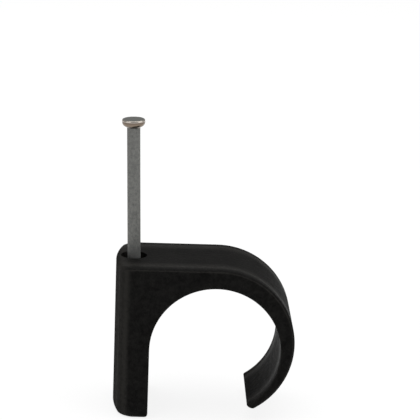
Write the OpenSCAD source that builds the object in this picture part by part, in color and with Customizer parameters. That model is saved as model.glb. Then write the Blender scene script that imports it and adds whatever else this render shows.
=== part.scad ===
// Nail in cable clip: a one-piece moulded hook with a nail standing in its leg, ready to be driven.
// The wall is the plane z = 0, the leg stands on it along the z axis and the cable runs along y.

/* [Cable seat] */
// Diameter of the cable that the hook closes round
cable_d = 25; // [16:0.5:40]
// Gap between the cable and the wall when the cable fills the crown
seat_gap = 1.2; // [0:0.1:4]

/* [Hook] */
// Width of the clip along the cable
clip_w = 18.8; // [12:0.2:30]
// Wall of the hook at its crown
crown_t = 3.6; // [2.5:0.1:5]
// Wall of the finger where its tip begins to round off
tip_t = 1.3; // [0.8:0.1:2.5]
// Direction of that place from the cable's centre, in degrees below level
tip_dir = 52.5; // [35:0.5:60]
// Distance of the axis of the finger's outer curve beyond the cable's centre
finger_out = 0.4; // [0.2:0.05:1]
// Rounding of the tip's two corners
tip_r = 0.8; // [0.3:0.1:0.8]
// Rounding of the outer edges
edge_r = 0.8; // [0.3:0.1:1.2]
// Rounding of the edges of the cable seat
lip_r = 0.25; // [0.1:0.05:0.5]

/* [Leg] */
// Thickness of the leg, from the cable seat to its round back
leg_t = 6.8; // [6:0.1:10]
// Radius of the leg's bowed back
back_r = 28; // [16:1:40]
// Radius of the two corners between the bowed back and the sides
corner_r = 4; // [2:0.1:5]
// Rounding of the leg's edges at the wall
foot_r = 1; // [0.2:0.1:1.5]

/* [Nail] */
// Diameter of the shank
nail_d = 2.5; // [1.6:0.1:3]
// Length from point to head
nail_l = 54.5; // [40:0.5:70]
// Height of the point above the wall, before the nail is driven
nail_lift = 2; // [0.5:0.5:10]
// Lean of the nail and its hole away from the hook, in degrees
nail_lean = 1.6; // [0:0.1:2.5]
// Length of the point
point_l = 5; // [2:0.5:8]
// Diameter of the blunt end of the point
point_d = 0.4; // [0.2:0.1:0.8]
// Diameter of the head
head_d = 4.4; // [4:0.1:4.8]
// Height of the head's upright rim, above the bowl that runs in to the shank
rim_h = 0.55; // [0.4:0.05:1]
// Rounding of the rim's upper edge
rim_r = 0.3; // [0.1:0.05:0.4]
// Height of the cone between bowl and shank
neck_h = 0.2; // [0.1:0.05:0.3]

/* [Nail hole] */
// Clearance round the shank, which the moulding grips
nail_gap = 0.03; // [0.01:0.01:0.1]
// Clearance round the head in its recess
head_gap = 0.3; // [0.1:0.05:0.5]
// Depth of the recess that takes the driven head
recess_h = 2.4; // [1.5:0.1:5]

/* [Hidden] */
$fn = 72;
seat_r = cable_d / 2;
seat_x = leg_t / 2 + seat_r;
seat_z = seat_gap + seat_r;
clip_h = seat_z + seat_r + crown_t;
half_w = clip_w / 2;
// the finger's outer curve leaves the flat top where it is level and passes the tip at the tip's wall
tip_out = (seat_r + tip_t) * cos(tip_dir) - finger_out;
tip_drop = seat_r + crown_t + (seat_r + tip_t) * sin(tip_dir);
finger_r = (pow(tip_out, 2) + pow(tip_drop, 2)) / (2 * tip_drop);
finger_x = seat_x + finger_out;
finger_z = clip_h - finger_r;
// rounds stand a hair proud of the faces that they join, so that each pair of faces crosses
proud = 0.08;
corner_y = half_w - corner_r + proud;
back_x = back_r - leg_t / 2;
back_turn = asin(corner_y / (back_r - corner_r + proud));
corner_x = back_x - (back_r - corner_r + proud) * cos(back_turn);
bowl_r = (head_d - nail_d) / 2;
bore_r = nail_d / 2 + nail_gap;
recess_r = head_d / 2 + head_gap;
over = 1;

// Section from an axis out to a face, with both edges of the face rounded.
module face_section(reach, half, rounding) {
    translate([0, rounding - half])
        square([reach, 2 * (half - rounding)]);
    translate([0, -half])
        square([reach - rounding, 2 * half]);
    for (side = [0, 1])
        mirror([0, side])
            translate([reach - rounding, half - rounding])
                intersection() {
                    circle(rounding);
                    square(rounding);
                }
}

// Upright section of the leg from an axis to a face, rounded at the top and at the foot.
module leg_section(reach) {
    translate([0, foot_r])
        square([reach, clip_h - foot_r - edge_r]);
    square([reach - foot_r, clip_h - edge_r]);
    translate([0, foot_r])
        square([reach - edge_r, clip_h - foot_r]);
    translate([reach - foot_r, foot_r])
        circle(foot_r);
    translate([reach - edge_r, clip_h - edge_r])
        circle(edge_r);
}

// Section of the cable seat, which opens out at both edges.
module seat_section() {
    translate([0, -half_w - over])
        square([seat_r, clip_w + 2 * over]);
    for (side = [0, 1])
        mirror([0, side])
            difference() {
                translate([0, half_w - lip_r])
                    square([seat_r + lip_r, lip_r + over]);
                translate([seat_r + lip_r, half_w - lip_r])
                    circle(lip_r);
            }
}

// The leg and the flat top, as far as the finger's curve.
module shoulder() {
    translate([-leg_t, 0, 0])
        rotate([90, 0, 90])
            linear_extrude(leg_t + finger_x)
                for (side = [0, 1])
                    mirror([side, 0])
                        leg_section(half_w);
}

// What lies outside the leg's bowed back and outside its two round corners.
module round_back() {
    difference() {
        translate([-leg_t - over, -clip_w, -over])
            cube([leg_t + over, 2 * clip_w, clip_h + 2 * over]);
        translate([back_x, 0, 0])
            rotate_extrude()
                leg_section(back_r);
    }
    for (side = [0, 1])
        mirror([0, side, 0])
            translate([corner_x, corner_y, 0])
                difference() {
                    translate([0, 0, -over])
                        linear_extrude(clip_h + 2 * over)
                            polygon(3 * corner_r * [[0, 0], [0, 1], [-1, 1], [-cos(back_turn), sin(back_turn)]]);
                    rotate_extrude()
                        leg_section(corner_r);
                }
}

// The finger runs from the flat top round the cable, and its tip is rounded off from the outside.
module finger() {
    reach = 2 * finger_r;
    turn = 55;
    intersection() {
        translate([finger_x, 0, finger_z])
            rotate([90, 0, 0])
                rotate([0, 0, 90])
                    mirror([0, 1, 0])
                        rotate_extrude(angle = 2 * turn + tip_dir)
                            face_section(finger_r, half_w, edge_r);
        translate([seat_x, 0, seat_z])
            rotate([90, 0, 0])
                rotate([0, 0, -tip_dir]) {
                    linear_extrude(clip_w + 2 * over, center = true)
                        polygon([[0, 0], for (i = [0:3]) reach * [cos(i * turn), sin(i * turn)]]);
                    translate([seat_r, 0])
                        rotate_extrude()
                            face_section(tip_t + proud, half_w + proud, tip_r);
                }
    }
}

// Room for the cable: the round seat, and the mouth down the face of the leg.
module seat() {
    translate([seat_x, 0, seat_z])
        rotate([90, 0, 0])
            rotate_extrude()
                seat_section();
    translate([seat_x, 0, -over])
        linear_extrude(seat_z + over) {
            mirror([1, 0])
                seat_section();
            translate([-over, -half_w - over])
                square([finger_out + 2 * over, clip_w + 2 * over]);
        }
    translate([leg_t / 2, 0, 0])
        rotate([90, 0, 0])
            linear_extrude(clip_w + 2 * over, center = true)
                difference() {
                    translate([-foot_r, -over])
                        square([foot_r + over, foot_r + over]);
                    translate([-foot_r, foot_r])
                        circle(foot_r);
                }
}

// Turns the nail and its hole about the middle of the hole's mouth.
module lean() {
    translate([0, 0, clip_h])
        rotate([0, -nail_lean, 0])
            translate([0, 0, -clip_h])
                children();
}

// Bore for the shank, with a lead-in and a recess for the head.
module nail_hole() {
    lean() {
        translate([0, 0, -over])
            cylinder(h = clip_h + over, r = bore_r);
        translate([0, 0, clip_h - recess_h - (recess_r - bore_r)])
            cylinder(h = recess_r - bore_r, r1 = bore_r, r2 = recess_r);
        translate([0, 0, clip_h - recess_h])
            cylinder(h = recess_h + over, r = recess_r);
    }
}

module clip() {
    color([0.06, 0.06, 0.065])
        difference() {
            union() {
                shoulder();
                finger();
            }
            round_back();
            seat();
            nail_hole();
        }
}

// Half section of the head, hung from the middle of its flat top.
module head_section() {
    translate([0, -rim_h])
        square([head_d / 2 - rim_r, rim_h]);
    translate([0, -rim_h])
        square([head_d / 2, rim_h - rim_r]);
    translate([head_d / 2 - rim_r, -rim_r])
        circle(rim_r);
    translate([0, -rim_h]) {
        intersection() {
            translate([nail_d / 2, 0])
                circle(bowl_r);
            translate([nail_d / 2, -bowl_r])
                square(bowl_r);
        }
        translate([0, -bowl_r])
            polygon([[0, -neck_h], [nail_d / 2, -neck_h], [nail_d / 2 + 2 * neck_h, neck_h], [0, neck_h]]);
    }
}

module nail() {
    color([0.55, 0.55, 0.53])
        lean()
            translate([0, 0, nail_lift])
                rotate_extrude() {
                    polygon([[0, 0], [point_d / 2, 0], [nail_d / 2, point_l], [0, point_l]]);
                    translate([0, point_l])
                        square([nail_d / 2, nail_l - point_l]);
                    translate([0, nail_l])
                        head_section();
                }
}

clip();
nail();
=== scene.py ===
import math

import bpy
import numpy as np
from mathutils import Matrix, Vector


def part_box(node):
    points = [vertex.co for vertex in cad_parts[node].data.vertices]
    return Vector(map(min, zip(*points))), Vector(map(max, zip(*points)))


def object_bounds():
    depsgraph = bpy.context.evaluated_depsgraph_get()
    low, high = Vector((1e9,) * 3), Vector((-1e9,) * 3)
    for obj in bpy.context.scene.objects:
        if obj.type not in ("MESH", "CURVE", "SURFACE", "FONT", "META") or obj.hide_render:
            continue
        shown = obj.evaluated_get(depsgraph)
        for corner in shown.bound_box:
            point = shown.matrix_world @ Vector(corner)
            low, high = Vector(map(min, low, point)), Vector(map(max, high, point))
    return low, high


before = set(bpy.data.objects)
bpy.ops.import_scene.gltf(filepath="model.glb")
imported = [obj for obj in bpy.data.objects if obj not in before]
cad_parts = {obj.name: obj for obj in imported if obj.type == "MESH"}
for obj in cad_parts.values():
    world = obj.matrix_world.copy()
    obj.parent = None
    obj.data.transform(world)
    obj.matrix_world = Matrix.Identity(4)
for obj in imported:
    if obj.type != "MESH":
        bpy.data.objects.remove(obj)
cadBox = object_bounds()
mm = 0.001  # sizes in the dictionaries are millimetres, the scene is in metres
print("frame loaded:", sorted(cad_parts))


# new material with one shader; returns it, its node tree, the shader and object coordinates in metres
def startMaterial(name):
    material = bpy.data.materials.new(name)
    material.use_nodes = True
    tree = material.node_tree
    tree.nodes.clear()
    output = tree.nodes.new("ShaderNodeOutputMaterial")
    shader = tree.nodes.new("ShaderNodeBsdfPrincipled")
    tree.links.new(shader.outputs["BSDF"], output.inputs["Surface"])
    place = tree.nodes.new("ShaderNodeTexCoord").outputs["Object"]
    return material, tree, shader, place


# noise with features about `size` mm long, stretched by `stretch` along each axis
def noise(tree, place, size, detail=3.0, roughness=0.5, stretch=(1, 1, 1)):
    mapping = tree.nodes.new("ShaderNodeMapping")
    mapping.inputs["Scale"].default_value = [1 / s for s in stretch]
    texture = tree.nodes.new("ShaderNodeTexNoise")
    texture.inputs["Scale"].default_value = 1 / (size * mm)
    texture.inputs["Detail"].default_value = detail
    texture.inputs["Roughness"].default_value = roughness
    tree.links.new(place, mapping.inputs["Vector"])
    tree.links.new(mapping.outputs["Vector"], texture.inputs["Vector"])
    return texture.outputs["Fac"]


# straight line from (low, outLow) to (high, outHigh), held level beyond both ends
def remap(tree, value, low, high, outLow, outHigh):
    node = tree.nodes.new("ShaderNodeMapRange")
    node.inputs["From Min"].default_value = low
    node.inputs["From Max"].default_value = high
    node.inputs["To Min"].default_value = outLow
    node.inputs["To Max"].default_value = outHigh
    tree.links.new(value, node.inputs["Value"])
    return node.outputs["Result"]


# ADD, MULTIPLY, MAXIMUM or ABSOLUTE of one or two values, each of them a socket or a float
def calculate(tree, operation, *values):
    node = tree.nodes.new("ShaderNodeMath")
    node.operation = operation
    for socket, value in zip(node.inputs, values):
        if isinstance(value, float):
            socket.default_value = value
        else:
            tree.links.new(value, socket)
    return node.outputs[0]


# 1 at the middle, falling in a straight line to 0 at the two widths below and above it
def peak(tree, value, middle, below, above):
    rise = remap(tree, value, middle - below, middle, 0, 1)
    fall = remap(tree, value, middle, middle + above, 1, 0)
    return calculate(tree, "MULTIPLY", rise, fall)


# one channel of a vector
def channel(tree, vector, axis):
    split = tree.nodes.new("ShaderNodeSeparateXYZ")
    tree.links.new(vector, split.inputs["Vector"])
    return split.outputs[axis]


# colour that goes from a to b as the share goes from 0 to 1
def blendColours(tree, share, a, b):
    node = tree.nodes.new("ShaderNodeMix")
    node.data_type = "RGBA"
    for socket, colour in ((node.inputs[6], a), (node.inputs[7], b)):
        if isinstance(colour, tuple):
            socket.default_value = (*colour, 1)
        else:
            tree.links.new(colour, socket)
    tree.links.new(share, node.inputs[0])
    return node.outputs[2]


# value that goes from a, a socket, to b, a number, as the share goes from 0 to 1
def blendValues(tree, share, a, b):
    node = tree.nodes.new("ShaderNodeMix")
    tree.links.new(share, node.inputs[0])
    tree.links.new(a, node.inputs[2])
    node.inputs[3].default_value = b
    return node.outputs[0]


# surface relief: a height from 0 to 1 rises by the depth, in mm
def relief(tree, shader, height, depth):
    bump = tree.nodes.new("ShaderNodeBump")
    bump.inputs["Distance"].default_value = depth * mm
    tree.links.new(height, bump.inputs["Height"])
    tree.links.new(bump.outputs["Normal"], shader.inputs["Normal"])


# clip: black moulded plastic with a satin skin, rubbed along its edges; the paler colour there is partly
# wear and partly painted highlight
clipLook = {
    "dark": (0.0031, 0.003, 0.0029),
    "light": (0.0101, 0.0098, 0.0092),
    "flowSize": 5.0,  # broad clouds
    "grainSize": 0.9,  # moulded grain
    "grainShare": 0.7,  # of the tone, the clouds give the rest
    "toneSpan": (0.35, 0.65),  # noise values that give dark and light
    "grainDepth": 0.12,
    "roughness": (0.5, 0.74),
    "glossSpan": (0.3, 0.7),  # grain values that give the two roughnesses
    "backRoughness": 0.95,  # leg's back, at its outermost
    "specular": 0.02,
    # paler colour of the worn places, partly wear and partly painted highlight
    "wornAndHighlitColour": (0.0175, 0.0166, 0.0152),
    "rubbedRoughness": 0.4,
    "wearAndHighlightSpan": (0.3, 0.6),  # grain values that are worn and highlighted least and most
    "wearAndHighlightLeast": 0.5,
    "backPlace": 1.1,  # of the worn corners with painted highlight, from the leg's outermost back
    "backWidth": (1.6, 1.9),
    "bandPlace": 2.4,  # of the worn band with painted highlight, from the clip's side
    "bandWidth": (2.6, 1.3),
    "bandTurn": (0.05, 0.3),  # the band fades between these turns of the surface to the side
    "bandShare": 0.9,
    "lineTurn": 0.8,  # turn of the round to the side at the worn line with painted highlight
    "lineSpan": 0.13,  # more or less turn that ends the line
    "insidePlace": (9.0, 5.0),  # from the finger's outermost, where the wear and painted highlight begin and are full
    "insideTurn": -0.4,  # turn of the surface to the leg where the wear and painted highlight are full
    "insideShare": 0.18,
}


# wear and painted highlight, the sum of four: the leg's back corners, a band beside the long edges, a line
# on their rounds and the inside of the finger, where the cable rubs
def edgeWearAndHighlight(tree, place, look, box):
    normal = tree.nodes.new("ShaderNodeNewGeometry").outputs["Normal"]
    sideways = calculate(tree, "ABSOLUTE", channel(tree, normal, "Y"))
    along = channel(tree, place, "X")
    across = calculate(tree, "ABSOLUTE", channel(tree, place, "Y"))
    below, above = (width * mm for width in look["backWidth"])
    back = peak(tree, along, box[0].x + look["backPlace"] * mm, below, above)
    below, above = (width * mm for width in look["bandWidth"])
    band = peak(tree, across, box[1].y - look["bandPlace"] * mm, below, above)
    outward = remap(tree, sideways, *look["bandTurn"], look["bandShare"], 0)
    band = calculate(tree, "MULTIPLY", band, outward)
    line = peak(tree, sideways, look["lineTurn"], look["lineSpan"], look["lineSpan"])
    start, full = (box[1].x - distance * mm for distance in look["insidePlace"])
    inward = remap(tree, channel(tree, normal, "X"), 0, look["insideTurn"], 0, 1)
    inside = calculate(tree, "MULTIPLY", remap(tree, along, start, full, 0, look["insideShare"]), inward)
    edges = calculate(tree, "ADD", back, band)
    return calculate(tree, "ADD", edges, calculate(tree, "ADD", line, inside))


# plastic: clouds plus grain give the tone, wear with painted highlight makes it paler, wear makes it
# smoother, the grain is the relief
def satinPlastic(look, box):
    material, tree, shader, place = startMaterial("satinPlastic")
    flow = noise(tree, place, look["flowSize"], detail=4, roughness=0.6)
    grain = noise(tree, place, look["grainSize"], detail=3, roughness=0.7)
    clouds = remap(tree, flow, *look["toneSpan"], 0, 1 - look["grainShare"])
    specks = remap(tree, grain, *look["toneSpan"], 0, look["grainShare"])
    skin = blendColours(tree, calculate(tree, "ADD", clouds, specks), look["dark"], look["light"])
    patches = remap(tree, grain, *look["wearAndHighlightSpan"], look["wearAndHighlightLeast"], 1)
    wearAndHighlightShare = calculate(tree, "MULTIPLY", edgeWearAndHighlight(tree, place, look, box), patches)
    # painted highlight: the paler worn colour stands partly for wear and partly for highlights on the
    # edges, back corners and inside of the finger
    tree.links.new(blendColours(tree, wearAndHighlightShare, skin, look["wornAndHighlitColour"]), shader.inputs["Base Color"])
    satin = remap(tree, grain, *look["glossSpan"], *look["roughness"])
    satin = blendValues(tree, wearAndHighlightShare, satin, look["rubbedRoughness"])
    backEnd = box[0].x + 2 * look["backPlace"] * mm  # as far again as the worn corners with painted highlight
    atBack = remap(tree, channel(tree, place, "X"), box[0].x, backEnd, 1, 0)
    tree.links.new(blendValues(tree, atBack, satin, look["backRoughness"]), shader.inputs["Roughness"])
    relief(tree, shader, grain, look["grainDepth"])
    shader.inputs["Specular IOR Level"].default_value = look["specular"]
    return material


# nail: dull drawn steel with a struck, polished head; depths in mm below the head's flat top
nailLook = {
    "dark": (0.106, 0.108, 0.103),
    "light": (0.193, 0.193, 0.183),
    "speckSize": 0.5,
    "speckSpan": (0.3, 0.7),  # noise values that give dark and light, or the two roughnesses
    "drawnStretch": (0.5, 0.5, 4.0),
    "holeShade": (0.035, 0.037, 0.042),  # painted shade, darker towards the hole and in it
    "holeShadeDepth": (23.0, 31.0),
    "lean": 1.6,  # degrees
    "topDepth": (0.06, 0.14),  # end of the dull flat top, start of the polished rim
    "headDepth": 1.7,
    "headBlend": 0.1,
    "rings": {  # colour of the head at each depth: a polished bronze tint, with painted reflection in the dark band at 0.5 and the brown band at 0.95 and painted shade at the neck at 1.6
        0.06: (0.097, 0.098, 0.093),
        0.14: (0.43, 0.39, 0.345),
        0.35: (0.48, 0.435, 0.39),
        0.5: (0.16, 0.125, 0.1),
        0.95: (0.24, 0.19, 0.145),
        1.6: (0.13, 0.12, 0.11),
    },
    "roughness": (0.6, 0.75),
    "rimRoughness": 0.15,
    "metallic": 0.12,
    "rimMetallic": 1.0,
    "specular": 0.05,
    "pitDepth": 0.02,
}


# depth below the head's top: the distance along the leaning axis, top minus z cos(lean) plus x sin(lean)
def depthBelow(tree, place, top, lean):
    dot = tree.nodes.new("ShaderNodeVectorMath")
    dot.operation = "DOT_PRODUCT"
    dot.inputs[1].default_value = (math.sin(lean), 0, -math.cos(lean))
    tree.links.new(place, dot.inputs[0])
    return calculate(tree, "ADD", dot.outputs["Value"], top)


# colour read off a row of stops, each at its own depth, by straight lines between them
def ringColours(tree, depth, rings, last):
    node = tree.nodes.new("ShaderNodeValToRGB")
    stops = node.color_ramp.elements
    stops.remove(stops[1])
    for index, (at, colour) in enumerate(sorted(rings.items())):
        stop = stops[0] if index == 0 else stops.new(at / last)
        stop.position = at / last
        stop.color = (*colour, 1)
    tree.links.new(remap(tree, depth, 0, last * mm, 0, 1), node.inputs["Fac"])
    return node.outputs["Color"]


# steel: specks give the tone, painted shade darkens it towards the hole, fine lines along the shank the
# gloss and relief, the head's depth its rings
def drawnSteel(look, box):
    material, tree, shader, place = startMaterial("drawnSteel")
    lean = math.radians(look["lean"])
    depth = depthBelow(tree, place, box[1].z * math.cos(lean), lean)
    speck = noise(tree, place, look["speckSize"], detail=4, roughness=0.7)
    lines = noise(tree, place, look["speckSize"], detail=3, stretch=look["drawnStretch"])
    steel = blendColours(tree, remap(tree, speck, *look["speckSpan"], 0, 1), look["dark"], look["light"])
    # painted shade: the steel darkens towards the hole and in it
    holeShadeStart, holeShadeEnd = (d * mm for d in look["holeShadeDepth"])
    steel = blendColours(tree, remap(tree, depth, holeShadeStart, holeShadeEnd, 0, 1), steel, look["holeShade"])
    headEnd = look["headDepth"] * mm
    onHead = remap(tree, depth, headEnd, headEnd - look["headBlend"] * mm, 0, 1)
    # the head's rings hold painted reflection in their dark bands and painted shade under the rim
    head = ringColours(tree, depth, look["rings"], look["headDepth"])
    tree.links.new(blendColours(tree, onHead, steel, head), shader.inputs["Base Color"])
    topEnd, rimStart = (d * mm for d in look["topDepth"])
    onRim = calculate(tree, "MULTIPLY", onHead, remap(tree, depth, topEnd, rimStart, 0, 1))
    dull = remap(tree, lines, *look["speckSpan"], *look["roughness"])
    tree.links.new(blendValues(tree, onRim, dull, look["rimRoughness"]), shader.inputs["Roughness"])
    metal = remap(tree, onRim, 0, 1, look["metallic"], look["rimMetallic"])
    tree.links.new(metal, shader.inputs["Metallic"])
    relief(tree, shader, lines, look["pitDepth"])
    shader.inputs["Specular IOR Level"].default_value = look["specular"]
    return material


finishes = {
    "clip": satinPlastic(clipLook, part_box("clip")),
    "nail": drawnSteel(nailLook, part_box("nail")),
}
for node, material in finishes.items():
    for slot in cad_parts[node].material_slots:
        slot.material = material
print("finishes:", {node: material.name for node, material in finishes.items()})

# floor: a wide pale disc just under the foot
floorLook = {
    "radius": 1500.0,
    "drop": 0.02,
    "colour": (0.9, 0.9, 0.9),
    "roughness": 0.9,
    "white": 0.85,  # share of plain white where the floor is seen
}


# rays that show the floor get part plain white and part lit floor, so that a pale shadow stays;
# all other rays get the lit floor
def whiten(tree, shader, share):
    path = tree.nodes.new("ShaderNodeLightPath")
    seen = path.outputs["Is Camera Ray"]
    for ray in ("Is Glossy Ray", "Is Transmission Ray"):
        seen = calculate(tree, "MAXIMUM", seen, path.outputs[ray])
    white = tree.nodes.new("ShaderNodeEmission")
    mix = tree.nodes.new("ShaderNodeMixShader")
    tree.links.new(remap(tree, seen, 0, 1, 0, share), mix.inputs["Fac"])
    tree.links.new(shader.outputs["BSDF"], mix.inputs[1])
    tree.links.new(white.outputs["Emission"], mix.inputs[2])
    output = [node for node in tree.nodes if node.type == "OUTPUT_MATERIAL"][0]
    tree.links.new(mix.outputs["Shader"], output.inputs["Surface"])


# disc: rings of points at x = r cos(t), y = r sin(t), r growing as the square of the ring's number,
# with one face across the innermost ring
def makeFloor(look, level, rings=23, steps=96):
    r = look["radius"] * mm * np.linspace(1 / rings, 1, rings) ** 2
    t = np.linspace(0, 2 * np.pi, steps, endpoint=False)
    points = np.stack([np.outer(r, np.cos(t)), np.outer(r, np.sin(t)), np.full((rings, steps), level)], -1)
    i, j = np.meshgrid(np.arange(rings - 1), np.arange(steps), indexing="ij")
    k = (j + 1) % steps
    inner, outer = i * steps, (i + 1) * steps
    quads = np.stack([inner + j, outer + j, outer + k, inner + k], -1).reshape(-1, 4)
    hub = [list(range(steps))]
    mesh = bpy.data.meshes.new("floor")
    mesh.from_pydata(points.reshape(-1, 3).tolist(), [], quads.tolist() + hub)
    floor = bpy.data.objects.new("floor", mesh)
    bpy.context.collection.objects.link(floor)
    material, tree, shader = startMaterial("paleFloor")[:3]
    shader.inputs["Base Color"].default_value = (*look["colour"], 1)
    shader.inputs["Roughness"].default_value = look["roughness"]
    shader.inputs["Specular IOR Level"].default_value = 0
    whiten(tree, shader, look["white"])
    mesh.materials.append(material)


makeFloor(floorLook, cadBox[0].z - floorLook["drop"] * mm)
print("floor laid")

# studio: an even pale room and three large soft boxes
roomLight = {"level": 0.42, "colour": (1, 1, 1)}
softBoxes = {  # place in mm from the clip's middle, side in mm, glow of the cloth
    "overhead": {"place": (0, 120, 700), "side": 900, "glow": 2.4},
    "left": {"place": (-520, -380, 220), "side": 600, "glow": 0.9},
    "right": {"place": (600, -180, 260), "side": 600, "glow": 1.4},
}


# the same light from all round
def lightRoom(room):
    world = bpy.data.worlds.new("paleRoom")
    bpy.context.scene.world = world
    world.use_nodes = True
    background = world.node_tree.nodes["Background"]
    background.inputs["Color"].default_value = (*room["colour"], 1)
    background.inputs["Strength"].default_value = room["level"]


# a square lamp that faces the clip's middle; its watts are glow times pi times its area
def hangSoftBox(name, box, middle):
    lamp = bpy.data.lights.new(name, "AREA")
    lamp.shape = "SQUARE"
    lamp.size = box["side"] * mm
    lamp.energy = box["glow"] * math.pi * lamp.size ** 2
    light = bpy.data.objects.new(name, lamp)
    bpy.context.collection.objects.link(light)
    light.location = middle + Vector(box["place"]) * mm
    light.rotation_euler = (middle - light.location).to_track_quat("-Z", "Y").to_euler()


lightRoom(roomLight)
clipLow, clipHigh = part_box("clip")
for name, box in softBoxes.items():
    hangSoftBox(name, box, (clipLow + clipHigh) / 2)
print("lights:", sorted(softBoxes))

# camera: angles in degrees, lengths in mm
cameraView = {
    "azimuth": -1.80,
    "elevation": 15.11,
    "roll": 2.08,
    "distance": 381.6,
    "target": (14.25, 0, 39.12),
    "lens": 171.43,
    "sensor": 36,
    "reach": (10, 20000),  # nearest and farthest that it sees
}


# back goes from the target to the camera: sin(azimuth) and -cos(azimuth) across, times cos(elevation),
# and sin(elevation) up; the camera looks the other way along it and is rolled about it
def placeCamera(view):
    azimuth, elevation = math.radians(view["azimuth"]), math.radians(view["elevation"])
    level = math.cos(elevation)
    back = Vector((math.sin(azimuth) * level, -math.cos(azimuth) * level, math.sin(elevation)))
    data = bpy.data.cameras.new("camera")
    data.lens = view["lens"]
    data.sensor_width = view["sensor"]
    data.clip_start, data.clip_end = (length * mm for length in view["reach"])
    camera = bpy.data.objects.new("camera", data)
    bpy.context.collection.objects.link(camera)
    roll = Matrix.Rotation(math.radians(view["roll"]), 3, "Z")
    turn = (-back).to_track_quat("-Z", "Y").to_matrix() @ roll
    stand = Vector(view["target"]) * mm + back * view["distance"] * mm
    camera.matrix_world = Matrix.LocRotScale(stand, turn, None)
    bpy.context.scene.camera = camera


placeCamera(cameraView)
bpy.context.scene.view_settings.view_transform = "Standard"
print("camera placed")
